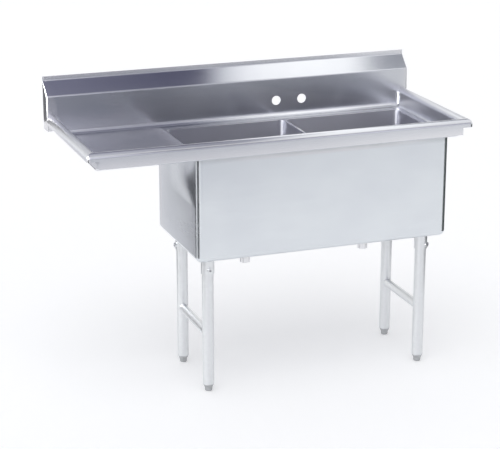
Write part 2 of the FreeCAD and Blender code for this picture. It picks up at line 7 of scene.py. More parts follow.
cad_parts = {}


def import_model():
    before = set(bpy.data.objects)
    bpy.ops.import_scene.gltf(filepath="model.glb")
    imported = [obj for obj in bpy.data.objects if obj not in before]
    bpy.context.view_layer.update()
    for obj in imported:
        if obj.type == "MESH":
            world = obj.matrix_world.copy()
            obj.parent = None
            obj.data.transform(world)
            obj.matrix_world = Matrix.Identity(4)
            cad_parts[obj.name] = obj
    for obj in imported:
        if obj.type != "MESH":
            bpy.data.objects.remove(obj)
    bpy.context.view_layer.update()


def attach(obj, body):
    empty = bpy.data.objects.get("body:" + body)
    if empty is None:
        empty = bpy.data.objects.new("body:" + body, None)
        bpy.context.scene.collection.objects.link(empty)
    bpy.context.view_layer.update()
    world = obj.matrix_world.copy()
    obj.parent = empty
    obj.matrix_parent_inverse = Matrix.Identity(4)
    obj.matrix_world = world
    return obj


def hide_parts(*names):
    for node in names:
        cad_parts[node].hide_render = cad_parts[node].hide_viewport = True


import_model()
scene = bpy.context.scene
scene.view_settings.view_transform = "Standard"

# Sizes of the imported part, in millimetres: heights, places across, places from front to back
MM = 0.001
SHEET = 1.5
RIM, DECK, BEND, SLOPE_TOP, TOP = 930.0, 862.0, 1004.0, 1051.0, 1067.0
X_LEFT, X_RIM_LEFT, X_BOARD, X_DIVIDER = -705.0, -667.0, -290.0, 174.0
X_LEDGE, X_RIM_RIGHT, X_RIGHT = 638.0, 667.0, 705.0
Y_FRONT, Y_RIM, Y_DECK_FRONT = -301.5, -263.5, -255.5
Y_BOWL_FRONT, Y_BOWL_REAR = -245.0, 187.0
Y_DECK_REAR, Y_SPLASH, Y_WALL = 233.5, 249.5, 301.5

# Rims, backsplash, end caps and tap holes
ROLL_WIDTH, ROLL, RIM_COVE, SPLASH_COVE, CORNER_COVE = 38.0, 19.0, 8.0, 16.0, 10.0
SLOPE_BEND, TOP_BEND = 8.0, 6.0
SIDE_LIP, FRONT_LIP, CORNER_NOTCH, CORNER_ROUND = 28.0, 54.0, 40.0, 13.0
CAP_ROUND, CAP_LOW = 5.0, RIM - 53
TAP_MIDDLE, TAP_PITCH = X_DIVIDER + 45, 101.6
TAPS = (TAP_MIDDLE - TAP_PITCH / 2, TAP_MIDDLE + TAP_PITCH / 2)
TAP_Z, TAP_RADIUS = DECK + 59, 17.45

# Bowls and drains
BOWL_HALF, BOWL_PITCH, BOWL_COVE, BOWL_LIP, FLOOR = 227.0, 464.0, 20.0, 1.6, 506.0
X_BOWLS = {"left": X_DIVIDER - BOWL_PITCH / 2, "right": X_DIVIDER + BOWL_PITCH / 2}
Y_BOWL = (Y_BOWL_FRONT + Y_BOWL_REAR) / 2
DISH_Z, DRAIN_Z, RECESS, DRAIN_HOLE = 501.0, 499.0, 57.5, 44.5
DRAIN_BORE, DRAIN_CUP, DRAIN_END, TAIL_RADIUS = 17.45, 43, 68, 19.05

# Apron
APRON_LEFT, APRON_RIGHT, APRON_FRONT = -311.5, 638.0, -250.0
APRON_REAR, APRON_LOW = 188.5, 490.0
APRON_BEND, APRON_LOWER_BEND, APRON_HEM = 22.0, 20.0, 16.0
# Height in millimetres above which the apron's top is darkened as painted shade under the front rim
APRON_SHADE_LINE = 856.0
SWELL_Z, SWELL_HALF, SWELL_WIDTH, SWELL_SLOPE, SWELL_RUN = 772, 98, 88, 0.085, 230

# Legs, sockets, rails and feet
LEGS_X = {"left": -262.0, "right": 557.0}
LEGS_Y = {"front": -208.5, "rear": 81.5}
LEG_RADIUS, LEG_BORE, LEG_TOP, LEG_END = 20.65, 19.05, 501.5, 27.6
UNDER, SOCKET_RADIUS, SOCKET_BORE, SOCKET_END = 504.5, 23.95, 20.95, 439.5
SOCKET_FILLET, SOCKET_PLATE, BOSS_RADIUS, SCREW_HOLE = 7, 32, 9, 4.1
SCREW_Z, BOSS_FACE, KEY_HALF = SOCKET_END + 18, SOCKET_RADIUS + 5, 2.0
SCREW_FACES = {"front_left": -90, "front_right": -57, "rear_left": 180, "rear_right": 0}
RAIL_RADIUS, RAIL_BORE, RAIL_Z = 15.9, 14.4, 215.0
INSERT_BORE, INSERT_LOW, INSERT_DEPTH = 8.25, 25.6, 32
FOOT_COLLAR, STEM_ROOT, STEM_THREAD, STEM_END = 25, 7.3, 83.5, 110
THREAD_PITCH, THREAD_DEPTH = 2.5, 0.62

# How far a cutting tool reaches past what it cuts
PAST = 5


def arc(centre, radius, start, end, steps):
    """Points on an arc, by its start and end in degrees."""
    turns = [math.radians(start + (end - start) * i / steps) for i in range(steps + 1)]
    return [(centre[0] + radius * math.cos(t), centre[1] + radius * math.sin(t)) for t in turns]


def quarter(steps):
    """Angles of a quarter turn in radians."""
    return [math.radians(90 * k / steps) for k in range(steps + 1)]


def circle(x, y, z, radius, segments):
    """Points of a level circle."""
    turns = [2 * math.pi * i / segments for i in range(segments)]
    return [(x + radius * math.cos(t), y + radius * math.sin(t), z) for t in turns]


def folded_loop(path, bends, thickness, steps):
    """Closed section of a folded sheet. Its shown side follows the path with rounded bends, and its
    thickness lies to the right of the path."""
    points = [Vector(p) for p in path]

    def right_of(a, b):
        along = (b - a).normalized()
        return Vector((along.y, -along.x)) * thickness

    shown = [points[0]]
    hidden = [points[0] + right_of(points[0], points[1])]
    for i, radius in enumerate(bends):
        before, corner, after = points[i:i + 3]
        along = (corner - before).normalized()
        onward = (after - corner).normalized()
        turn = 1 if along.x * onward.y - along.y * onward.x > 0 else -1
        angle = along.angle(onward)
        start = corner - along * radius * math.tan(angle / 2)
        centre = start + Vector((-along.y, along.x)) * radius * turn
        spoke = start - centre
        for k in range(steps + 1):
            c, s = math.cos(turn * angle * k / steps), math.sin(turn * angle * k / steps)
            way = Vector((spoke.x * c - spoke.y * s, spoke.x * s + spoke.y * c)) / radius
            shown.append(centre + way * radius)
            hidden.append(centre + way * (radius + turn * thickness))
    shown.append(points[-1])
    hidden.append(points[-1] + right_of(points[-2], points[-1]))
    return [(p.x, p.y) for p in shown + hidden[::-1]]


def rings_mesh(rings, ends=True):
    """Vertices and faces of a skin through closed rings of equal length."""
    count = len(rings[0])
    vertices = [p for ring in rings for p in ring]
    faces = []
    for r in range(len(rings) - 1):
        for i in range(count):
            j = (i + 1) % count
            faces.append((r * count + i, r * count + j, (r + 1) * count + j, (r + 1) * count + i))
    if ends:
        faces.append(tuple(range(count))[::-1])
        last = (len(rings) - 1) * count
        faces.append(tuple(range(last, last + count)))
    return vertices, faces


def merge(*parts):
    """One mesh from several."""
    vertices, faces = [], []
    for part_vertices, part_faces in parts:
        base = len(vertices)
        vertices += part_vertices
        faces += [tuple(base + i for i in face) for face in part_faces]
    return vertices, faces


def turned(profile, x, y, segments):
    """Skin turned about the upright axis at (x, y). A profile that starts and ends away from the
    axis is closed on itself."""
    on_axis = 0.01
    if min(profile[0][0], profile[-1][0]) > on_axis:
        profile = profile + profile[:1]
    return rings_mesh([circle(x, y, z, radius, segments) for radius, z in profile], ends=False)


def box_mesh(x0, x1, y0, y1, z0, z1):
    """Closed box."""
    low = [(x0, y0, z0), (x1, y0, z0), (x1, y1, z0), (x0, y1, z0)]
    high = [(x, y, z1) for x, y, z in low]
    return rings_mesh([low, high])


def rod_mesh(start, way, length, radius, segments):
    """Closed round rod from a point along a unit direction."""
    way = Vector(way)
    across = way.orthogonal().normalized()
    up = way.cross(across)
    rings = []
    for step in (0, length):
        ring = []
        for i in range(segments):
            t = 2 * math.pi * i / segments
            p = Vector(start) + way * step + (across * math.cos(t) + up * math.sin(t)) * radius
            ring.append(tuple(p))
        rings.append(ring)
    return rings_mesh(rings)


def prism_mesh(x, y, outline, turn, heights):
    """Upright prism: a plan outline turned about (x, y), between two heights."""
    c, s = math.cos(turn), math.sin(turn)
    plan = [(x + u * c - v * s, y + u * s + v * c) for u, v in outline]
    return rings_mesh([[(u, v, z) for u, v in plan] for z in heights])


def make_object(name, mesh_data):
    """Object from vertices in millimetres and faces, with doubles and slivers removed."""
    vertices, faces = mesh_data
    mesh = bpy.data.meshes.new(name)
    mesh.from_pydata([(x * MM, y * MM, z * MM) for x, y, z in vertices], [], faces)
    work = bmesh.new()
    work.from_mesh(mesh)
    bmesh.ops.remove_doubles(work, verts=work.verts, dist=1e-6)
    bmesh.ops.dissolve_degenerate(work, edges=work.edges, dist=1e-7)
    bmesh.ops.recalc_face_normals(work, faces=work.faces)
    work.to_mesh(mesh)
    work.free()
    obj = bpy.data.objects.new(name, mesh)
    scene.collection.objects.link(obj)
    return obj


def bake_modifiers(obj):
    """Puts what the modifiers make into the object's own mesh."""
    bpy.context.view_layer.update()
    made = obj.evaluated_get(bpy.context.evaluated_depsgraph_get())
    mesh = bpy.data.meshes.new_from_object(made)
    obj.modifiers.clear()
    obj.data = mesh


def combine(obj, tools, operation="DIFFERENCE"):
    """Cuts away the solids of the given meshes, or does another operation with them."""
    for data in tools:
        tool = make_object("tool", data)
        change = obj.modifiers.new("change", "BOOLEAN")
        change.operation = operation
        change.solver = "EXACT"
        change.object = tool
        bake_modifiers(obj)
        bpy.data.objects.remove(tool)


def bevel(obj, width):
    """Rounds the sharp edges."""
    edge = obj.modifiers.new("edge", "BEVEL")
    edge.width = width * MM
    edge.segments = 2
    edge.limit_method = "ANGLE"
    edge.angle_limit = math.radians(50)
    edge.use_clamp_overlap = True
    bake_modifiers(obj)


def piece(obj, body, nodes, material, sharp=32):
    """Finishes a piece: smooth shading, its material, its body and the nodes that it stands for."""
    obj.data.shade_smooth()
    obj.data.set_sharp_from_angle(angle=math.radians(sharp))
    flat = obj.modifiers.new("flat", "WEIGHTED_NORMAL")
    flat.keep_sharp = True
    obj.data.materials.clear()
    obj.data.materials.append(material)
    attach(obj, body)
    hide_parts(*nodes)


# Materials
BLACK, WHITE = (0, 0, 0), (1, 1, 1)
EVEN = (1, 1, 1)
STEEL, RUBBED_STEEL = (0.685, 0.70, 0.73), (0.80, 0.80, 0.82)
# Scales along X, Y and Z of the brushed lines and of the wiped streaks, by the grain's direction
GRAINS = {
    "x": ((3, 260, 260), (1, 6, 6)),
    "y": ((260, 3, 260), (6, 1, 6)),
    "xy": ((3, 3, 260), (1, 1, 6)),
    "z": ((260, 260, 3), (6, 6, 1)),
}


def new_material(name):
    """A material with its nodes, links and shader."""
    material = bpy.data.materials.new(name)
    material.use_nodes = True
    nodes, links = material.node_tree.nodes, material.node_tree.links
    return material, nodes, links, nodes["Principled BSDF"]


def shade(colour, factor):
    """A darker or lighter colour."""
    return tuple(min(1.0, c * factor) for c in colour)


def noise_node(nodes, links, scale, stretch, detail, rough=0.55):
    """Noise in the object's own space; stretch sets its scale along X, Y and Z."""
    place = nodes.new("ShaderNodeTexCoord")
    mapping = nodes.new("ShaderNodeMapping")
    mapping.inputs["Scale"].default_value = stretch
    links.new(place.outputs["Object"], mapping.inputs["Vector"])
    texture = nodes.new("ShaderNodeTexNoise")
    texture.inputs["Scale"].default_value = scale
    texture.inputs["Detail"].default_value = detail
    texture.inputs["Roughness"].default_value = rough
    links.new(mapping.outputs["Vector"], texture.inputs["Vector"])
    return texture.outputs["Fac"]


def ramp(nodes, links, source, stops):
    """Colours by a value; each stop is a place and a colour."""
    node = nodes.new("ShaderNodeValToRGB")
    node.color_ramp.elements[0].position = stops[0][0]
    node.color_ramp.elements[1].position = stops[-1][0]
    for place, _ in stops[1:-1]:
        node.color_ramp.elements.new(place)
    for element, (_, colour) in zip(node.color_ramp.elements, stops):
        element.color = (*colour, 1)
    links.new(source, node.inputs["Fac"])
    return node.outputs["Color"]


def spread(nodes, links, source, low, high, start=0.0, end=1.0):
    """Maps a value's range from start to end onto low to high."""
    node = nodes.new("ShaderNodeMapRange")
    node.inputs["From Min"].default_value = start
    node.inputs["From Max"].default_value = end
    node.inputs["To Min"].default_value = low
    node.inputs["To Max"].default_value = high
    links.new(source, node.inputs["Value"])
    return node.outputs["Result"]


def calculate(nodes, links, operation, *values):
    """Math on values that are numbers or sockets."""
    node = nodes.new("ShaderNodeMath")
    node.operation = operation
    for value, socket_in in zip(values, node.inputs):
        if isinstance(value, float):
            socket_in.default_value = value
        else:
            links.new(value, socket_in)
    return node.outputs["Value"]


def axis_of(nodes, links, space, axis):
    """A surface point's place along one axis of a coordinate space."""
    place = nodes.new("ShaderNodeTexCoord")
    split = nodes.new("ShaderNodeSeparateXYZ")
    links.new(place.outputs[space], split.inputs["Vector"])
    return split.outputs[axis]


def value_of(nodes, name):
    """A value that the mesh holds for each of its points."""
    node = nodes.new("ShaderNodeAttribute")
    node.attribute_name = name
    return node.outputs["Fac"]


def blend_colours(nodes, links, factor, first, second, mode="MIX"):
    """Mixes two colours, each a tuple or a socket, by a number or a socket."""
    node = nodes.new("ShaderNodeMix")
    node.data_type = "RGBA"
    node.blend_type = mode
    if isinstance(factor, float):
        node.inputs["Factor"].default_value = factor
    else:
        links.new(factor, node.inputs["Factor"])
    for source, socket_in in ((first, node.inputs[6]), (second, node.inputs[7])):
        if isinstance(source, tuple):
            socket_in.default_value = (*source, 1)
        else:
            links.new(source, socket_in)
    return node.outputs[2]


def edge_mask(nodes, links, full):
    """From 0 on flat faces to 1 on edges that stand out, where a finish is rubbed."""
    worn = nodes.new("ShaderNodeNewGeometry")
    return ramp(nodes, links, worn.outputs["Pointiness"], [(0.52, BLACK), (full, WHITE)])


def bump(nodes, links, shader, height, strength, distance):
    """Fine relief from a height value."""
    node = nodes.new("ShaderNodeBump")
    node.inputs["Strength"].default_value = strength
    node.inputs["Distance"].default_value = distance
    links.new(height, node.inputs["Height"])
    links.new(node.outputs["Normal"], shader.inputs["Normal"])


def stainless(name, grain, colour=STEEL, roughness=0.20, depth=0.015, polished=None, shade_line=None):
    """Satin stainless sheet: fine brushed lines along the grain, soft cloudy wear in the gloss, and
    edges rubbed brighter. Where the mesh's polish value is 1, the sheet takes the inside colour
    that is given, and lines that run round the upright axis, which spread light up and down. Above
    the given height in metres the sheet has uneven painted shade, which fades out just below that
    height."""
    material, nodes, links, shader = new_material(name)
    brushed, streaked = GRAINS[grain]
    lines = noise_node(nodes, links, 5.0, brushed, 4.0, 0.7)
    clouds = noise_node(nodes, links, 5.5, EVEN, 4.0)
    wiped = noise_node(nodes, links, 2.2, streaked, 3.0)
    base = ramp(nodes, links, lines, [(0.3, shade(colour, 0.96)), (0.7, shade(colour, 1.03))])
    haze = ramp(nodes, links, clouds, [(0.35, (0.955, 0.955, 0.965)), (0.65, WHITE)])
    tone = blend_colours(nodes, links, 1.0, base, haze, "MULTIPLY")
    # For the bowls, the inside colour is a darker copy of the sheet steel's colour: painted shade
    # in the hollow
    if polished:
        inside = value_of(nodes, "polish")
        tone = blend_colours(nodes, links, inside, tone, polished)
    else:
        tone = blend_colours(nodes, links, edge_mask(nodes, links, 0.60), tone, RUBBED_STEEL)
    # Painted shade: the top of the sheet, under the front rim's lip, is darkened unevenly by the
    # clouds as if in the rim's shadow, fading out 16 mm below the given height
    if shade_line:
        fade = 0.016
        height = axis_of(nodes, links, "Object", "Z")
        painted_shade = spread(nodes, links, height, 0.0, 1.0, shade_line - fade, shade_line)
        uneven = calculate(nodes, links, "MULTIPLY", painted_shade, clouds)
        tone = blend_colours(nodes, links, uneven, tone, shade(colour, 0.6))
    links.new(tone, shader.inputs["Base Color"])
    shader.inputs["Metallic"].default_value = 1.0
    gloss = spread(nodes, links, wiped, roughness - 0.06, roughness + 0.07)
    dull = calculate(nodes, links, "MULTIPLY_ADD", lines, 0.04, gloss)
    if polished:
        dull = calculate(nodes, links, "MULTIPLY_ADD", inside, 0.25, dull)
        around = nodes.new("ShaderNodeTangent")
        around.direction_type = "RADIAL"
        around.axis = "Z"
        links.new(around.outputs["Tangent"], shader.inputs["Tangent"])
        drawn = calculate(nodes, links, "MULTIPLY", inside, 0.9)
        links.new(drawn, shader.inputs["Anisotropic"])
        shader.inputs["Anisotropic Rotation"].default_value = 0.25
    links.new(dull, shader.inputs["Roughness"])
    bump(nodes, links, shader, lines, depth, 0.0004)
    return material


def galvanised(name, colour, roughness):
    """Galvanised steel: crystal spangle, dull zinc haze and faint runs."""
    material, nodes, links, shader = new_material(name)
    place = nodes.new("ShaderNodeTexCoord")
    crystals = nodes.new("ShaderNodeTexVoronoi")
    crystals.inputs["Scale"].default_value = 95.0
    links.new(place.outputs["Object"], crystals.inputs["Vector"])
    spangle = crystals.outputs["Color"]
    tint = ramp(nodes, links, spangle, [(0.1, shade(colour, 0.98)), (0.9, shade(colour, 1.015))])
    runs = noise_node(nodes, links, 9.0, (1, 1, 0.4), 4.0)
    haze = ramp(nodes, links, runs, [(0.3, (0.965, 0.965, 0.97)), (0.7, WHITE)])
    tone = blend_colours(nodes, links, 1.0, tint, haze, "MULTIPLY")
    links.new(tone, shader.inputs["Base Color"])
    shader.inputs["Metallic"].default_value = 1.0
    gloss = spread(nodes, links, spangle, roughness - 0.03, roughness + 0.04)
    links.new(gloss, shader.inputs["Roughness"])
    bump(nodes, links, shader, noise_node(nodes, links, 420.0, EVEN, 2.0), 0.08, 0.0004)
    return material


def cast_metal(name, colour, roughness, metallic=1.0, depth=0.12, edge_colour=None):
    """Cast, plated or moulded surface: fine grain, blotchy tone and rubbed edges."""
    material, nodes, links, shader = new_material(name)
    blotch = noise_node(nodes, links, 40.0, EVEN, 4.0)
    base = ramp(nodes, links, blotch, [(0.3, shade(colour, 0.86)), (0.7, shade(colour, 1.08))])
    rubbed = edge_colour or shade(colour, 1.25)
    tone = blend_colours(nodes, links, edge_mask(nodes, links, 0.62), base, rubbed)
    links.new(tone, shader.inputs["Base Color"])
    shader.inputs["Metallic"].default_value = metallic
    gloss = spread(nodes, links, blotch, roughness - 0.06, roughness + 0.08)
    links.new(gloss, shader.inputs["Roughness"])
    bump(nodes, links, shader, noise_node(nodes, links, 260.0, EVEN, 3.0), depth, 0.0005)
    return material


STEEL_X = stainless("stainless_along", "x")
STEEL_Y = stainless("stainless_across", "y")
# Painted shade and light: the deck plates and the bowls, flange and inside, take darker copies of
# the sheet steel's colour, and the apron a lighter, bluer copy, as shaded and lit versions of the
# one steel
STEEL_BOARD = stainless("stainless_board", "x", (0.55, 0.56, 0.59))
STEEL_RIM = stainless("stainless_rim", "y", roughness=0.28)
STEEL_BOWL = stainless("stainless_bowl", "z", (0.50, 0.51, 0.54), 0.12,
                       polished=(0.58, 0.585, 0.635))
STEEL_APRON = stainless("stainless_apron", "xy", (0.73, 0.76, 0.785), 0.23, 0.006,
                        shade_line=APRON_SHADE_LINE * MM)
TUBE = galvanised("galvanised_tube", (0.765, 0.78, 0.79), 0.40)
SOCKET = galvanised("galvanised_socket", (0.77, 0.785, 0.795), 0.36)
INSERT = cast_metal("insert_zinc", (0.62, 0.63, 0.65), 0.38)
FOOT = cast_metal("foot_metal", (0.46, 0.47, 0.48), 0.36)
SCREW = cast_metal("screw_steel", (0.40, 0.40, 0.42), 0.30)
DRAIN = stainless("drain_metal", "z", (0.72, 0.72, 0.73), 0.20, 0.02)
NUT = cast_metal("nut_plate", (0.74, 0.70, 0.60), 0.28, depth=0.05)
RUBBER = cast_metal("gasket_rubber", (0.025, 0.025, 0.027), 0.62, 0.0,
                    edge_colour=(0.05, 0.05, 0.052))


def splash_sheet():
    """Folded backsplash with its tap holes, cut and filled round the rear ends of the rims."""
    back = Y_WALL - SHEET
    path = [(Y_DECK_REAR, DECK), (Y_SPLASH, DECK), (Y_SPLASH, BEND), (back, SLOPE_TOP),
            (back, TOP)]
    loop = folded_loop(path, [SPLASH_COVE, SLOPE_BEND, TOP_BEND], SHEET, 10)
    x_left, x_right = X_LEFT + CAP_ROUND, X_RIGHT - CAP_ROUND
    stations = (x_left, X_RIM_LEFT, 0, X_RIM_RIGHT, x_right)
    rings = [[(x, u, v) for u, v in loop] for x in stations]
    obj = make_object("backsplash_sheet", rings_mesh(rings))
    cove_top = DECK + SPLASH_COVE
    cuts = [box_mesh(x0, x1, Y_DECK_REAR - PAST, Y_SPLASH + PAST, DECK - PAST, cove_top)
            for x0, x1 in ((X_LEFT - PAST, X_RIM_LEFT), (X_RIM_RIGHT, X_RIGHT + PAST))]
    cuts += [rod_mesh((x, Y_SPLASH - PAST, TAP_Z), (0, 1, 0), 12, TAP_RADIUS, 56) for x in TAPS]
    combine(obj, cuts)
    combine(obj, [box_mesh(x0, x1, Y_SPLASH, Y_SPLASH + SHEET, CAP_LOW, cove_top + 0.5)
                  for x0, x1 in ((x_left, X_RIM_LEFT), (X_RIM_RIGHT, x_right))], "UNION")
    piece(obj, "sink", ["backsplash"], STEEL_X)


def end_cap(side, x_out, way):
    """End plate whose front edge is rounded over onto the splash."""
    back = Y_WALL - SHEET

    def outline(inset):
        slim = min(inset, 1.2)
        return [(Y_SPLASH + inset, CAP_LOW), (Y_SPLASH + inset, BEND - inset * 0.38),
                (back + slim, SLOPE_TOP - slim * 0.4), (back + slim, TOP),
                (Y_WALL, TOP), (Y_WALL, CAP_LOW)]

    sections = [(CAP_ROUND * (1 - math.cos(t)), CAP_ROUND * (1 - math.sin(t))) for t in quarter(6)]
    sections += [(CAP_ROUND, SHEET + 0.3), (SHEET, CAP_ROUND)]
    rings = [[(x_out + way * depth, u, v) for u, v in outline(inset)] for depth, inset in sections]
    obj = make_object("backsplash_end_" + side, rings_mesh(rings))
    piece(obj, "sink", ["backsplash_end_cap_" + side], STEEL_Y, sharp=40)


def deck_plate(name, node, x0, x1):
    """Flat deck sheet on a grid."""
    cells = 8
    across = [x0 + (x1 - x0) * i / cells for i in range(cells + 1)]
    rings = []
    for i in range(cells + 1):
        y = Y_DECK_FRONT + (Y_DECK_REAR - Y_DECK_FRONT) * i / cells
        rings.append([(x, y, DECK) for x in across] + [(x, y, DECK - SHEET) for x in across[::-1]])
    obj = make_object(name, rings_mesh(rings))
    piece(obj, "sink", [node], STEEL_BOARD)


def rounded_ring(x, half, y0, y1, radius, z):
    """Rounded rectangle seen from above, with the same number of points whatever its radius."""
    corner_steps, straight_points = 8, 6
    ring = []
    corners = [(x + half - radius, y0 + radius, -90), (x + half - radius, y1 - radius, 0),
               (x - half + radius, y1 - radius, 90), (x - half + radius, y0 + radius, 180)]
    arcs = [arc(c[:2], radius, c[2], c[2] + 90, corner_steps) for c in corners]
    for i, points in enumerate(arcs):
        ring += points
        a, b = Vector(points[-1]), Vector(arcs[(i + 1) % 4][0])
        ring += [tuple(a.lerp(b, k / (straight_points + 1))) for k in range(1, straight_points + 1)]
    return [(u, v, z) for u, v in ring]


def bowl(side):
    """Pressed bowl: deck flange, rounded lip, coved walls and floor, dish and drain recess."""
    x = X_BOWLS[side]
    rings = [rounded_ring(x, BOWL_PITCH / 2, Y_DECK_FRONT, Y_DECK_REAR, 0.001, DECK)]

    def inside(grow, z, radius):
        return rounded_ring(x, BOWL_HALF + grow, Y_BOWL_FRONT - grow, Y_BOWL_REAR + grow, radius, z)

    for t in quarter(5):
        grow = BOWL_LIP * (1 - math.sin(t))
        rings.append(inside(grow, DECK - BOWL_LIP * (1 - math.cos(t)), BOWL_COVE + grow))
    for z in (DECK - 60, DECK - 180, FLOOR + BOWL_COVE + 40):
        rings.append(inside(0, z, BOWL_COVE))
    for t in quarter(8):
        inset = BOWL_COVE * (1 - math.cos(t))
        z = FLOOR + BOWL_COVE * (1 - math.sin(t))
        rings.append(inside(-inset, z, max(0.01, BOWL_COVE - inset)))
    edge = rings[-1]
    dish = [(130, FLOOR), (124, FLOOR - 0.15), (64, DISH_Z + 0.2), (RECESS + SHEET, DISH_Z)]
    recess = [(RECESS, DISH_Z - 0.4), (RECESS, DRAIN_Z), (DRAIN_HOLE, DRAIN_Z)]
    for radius, z in dish + recess:
        ring = []
        for u, v, _ in edge:
            t = math.atan2(v - Y_BOWL, u - x)
            ring.append((x + radius * math.cos(t), Y_BOWL + radius * math.sin(t), z))
        rings.append(ring)
    obj = make_object(side + "_bowl_pressing", rings_mesh(rings, ends=False))
    mark_polish(obj)
    face_up(obj)
    thick = obj.modifiers.new("thick", "SOLIDIFY")
    thick.thickness = SHEET * MM
    thick.offset = -1
    thick.use_even_offset = True
    bake_modifiers(obj)
    piece(obj, "sink", [side + "_bowl"], STEEL_BOWL, sharp=40)


def mark_polish(obj):
    """Polish value of a bowl's points: 0 on the flange, and 1 from just under the lip's top."""
    polish = obj.data.attributes.new("polish", "FLOAT", "POINT")
    for i, vertex in enumerate(obj.data.vertices):
        polish.data[i].value = min(1.0, max(0.0, DECK - 0.3 - vertex.co.z / MM))


def face_up(obj):
    """Turns the open skin of a bowl so that its shown side is outward."""
    work = bmesh.new()
    work.from_mesh(obj.data)
    top = max(work.faces, key=lambda f: f.calc_center_median().z)
    if top.normal.z < 0:
        bmesh.ops.reverse_faces(work, faces=work.faces)
    work.to_mesh(obj.data)
    work.free()


def rim_loop(lip):
    """Section of a rolled rim as (outward, height) points."""
    path = [(-RIM_COVE, DECK), (0, DECK), (0, RIM), (ROLL_WIDTH, RIM), (ROLL_WIDTH, RIM - lip)]
    return folded_loop(path, [RIM_COVE, ROLL, ROLL], SHEET, 12)


def corner_ring(loop, x_rim, side, turn):
    """Ring of a rim's section at a front corner; turn goes from 0 degrees on the front to 90 on
    the side."""
    t = math.radians(turn)
    start = ROLL_WIDTH - CORNER_ROUND
    ring = []
    for outward, z in loop:
        straight, radius = min(outward, start), max(outward - start, 0)
        if radius:
            x = x_rim + side * (start + radius * math.sin(t))
            ring.append((x, Y_RIM - start - radius * math.cos(t), z))
        else:
            ring.append((x_rim + side * straight, Y_RIM - straight, z))
    return ring


def front_rim():
    """Front roll between the two mitres, its deep lip cut away at the corners."""
    loop = rim_loop(FRONT_LIP)
    turns = (45, 36, 27, 18, 9, 0)
    rings = [corner_ring(loop, X_RIM_LEFT, -1, turn) for turn in turns]
    for x in (X_RIM_LEFT + 12, -220, 220, X_RIM_RIGHT - 12):
        rings.append([(x, Y_RIM - u, v) for u, v in loop])
    rings += [corner_ring(loop, X_RIM_RIGHT, 1, turn) for turn in turns[::-1]]
    obj = make_object("front_rim_roll", rings_mesh(rings))
    low, high = RIM - FRONT_LIP - PAST, RIM - SIDE_LIP
    combine(obj, [box_mesh(x0, x1, Y_FRONT - PAST, Y_FRONT + 16, low, high)
                  for x0, x1 in ((X_LEFT - PAST, X_LEFT + CORNER_NOTCH),
                                 (X_RIGHT - CORNER_NOTCH, X_RIGHT + PAST))])
    piece(obj, "sink", ["front_rim"], STEEL_X)


def side_rim(side_name, x_rim, side):
    """Side roll from its mitre back to the splash, with the cove that joins it to the splash."""
    loop = rim_loop(SIDE_LIP)
    rings = [corner_ring(loop, x_rim, side, turn) for turn in (45, 54, 63, 72, 81, 90)]
    for y in (Y_RIM + 12, 0):
        rings.append([(x_rim + side * u, y, v) for u, v in loop])
    rings.append([(x_rim + side * u, Y_SPLASH if u >= 0 else Y_DECK_REAR, v) for u, v in loop])
    obj = make_object(side_name + "_rim_roll", merge(rings_mesh(rings), rear_cove(x_rim, side)))
    piece(obj, "sink", [side_name + "_rim"], STEEL_RIM)


def sagitta(radius, offset):
    """How far an arc lies from its tangent, at an offset from the arc's centre."""
    return radius - math.sqrt(max(0.0, radius ** 2 - offset ** 2))


def rear_cove(x_rim, side):
    """Upright cove between a side rim and the backsplash, from the deck's cove up onto the roll."""
    steps, roll_climb, roll_fade = 6, 16, 17
    least, deck_fade = 0.12, 0.8
    heights = [DECK + SPLASH_COVE * k / steps for k in range(1, steps + 1)]
    heights += [DECK + 28, RIM - ROLL]
    heights += [RIM - ROLL + roll_climb * k / steps for k in range(1, steps + 1)]
    rings = []
    for z in heights:
        below = max(0.0, DECK + SPLASH_COVE - z)
        under = max(0.0, DECK + RIM_COVE - z)
        over = max(0.0, z - (RIM - ROLL))
        y = Y_SPLASH - sagitta(SPLASH_COVE, below)
        x = x_rim - side * sagitta(RIM_COVE, under) + side * sagitta(ROLL, over)
        fade = below / SPLASH_COVE * deck_fade
        radius = CORNER_COVE * max(least, 1 - fade - over / roll_fade)
        hollow = arc((x - side * radius, y - radius), radius, 90, 0 if side > 0 else 180, 8)
        rings.append([(x, y, z)] + [(u, v, z) for u, v in hollow])
    return rings_mesh(rings)


def swelling(y, z):
    """How far the left side of the apron swells out beside its front bend, as bent sheet does."""
    strength = max(0.0, 1 - ((z - SWELL_Z) / SWELL_HALF) ** 2)
    width = SWELL_WIDTH * math.sqrt(strength)
    along = y - APRON_FRONT - APRON_BEND
    if along <= 0 or width < 1:
        return 0.0
    most = SWELL_SLOPE * strength * width
    if along < width:
        return most * (1 - (1 - along / width) ** 2)
    return most * 0.5 * (1 + math.cos(math.pi * min(1.0, (along - width) / SWELL_RUN)))


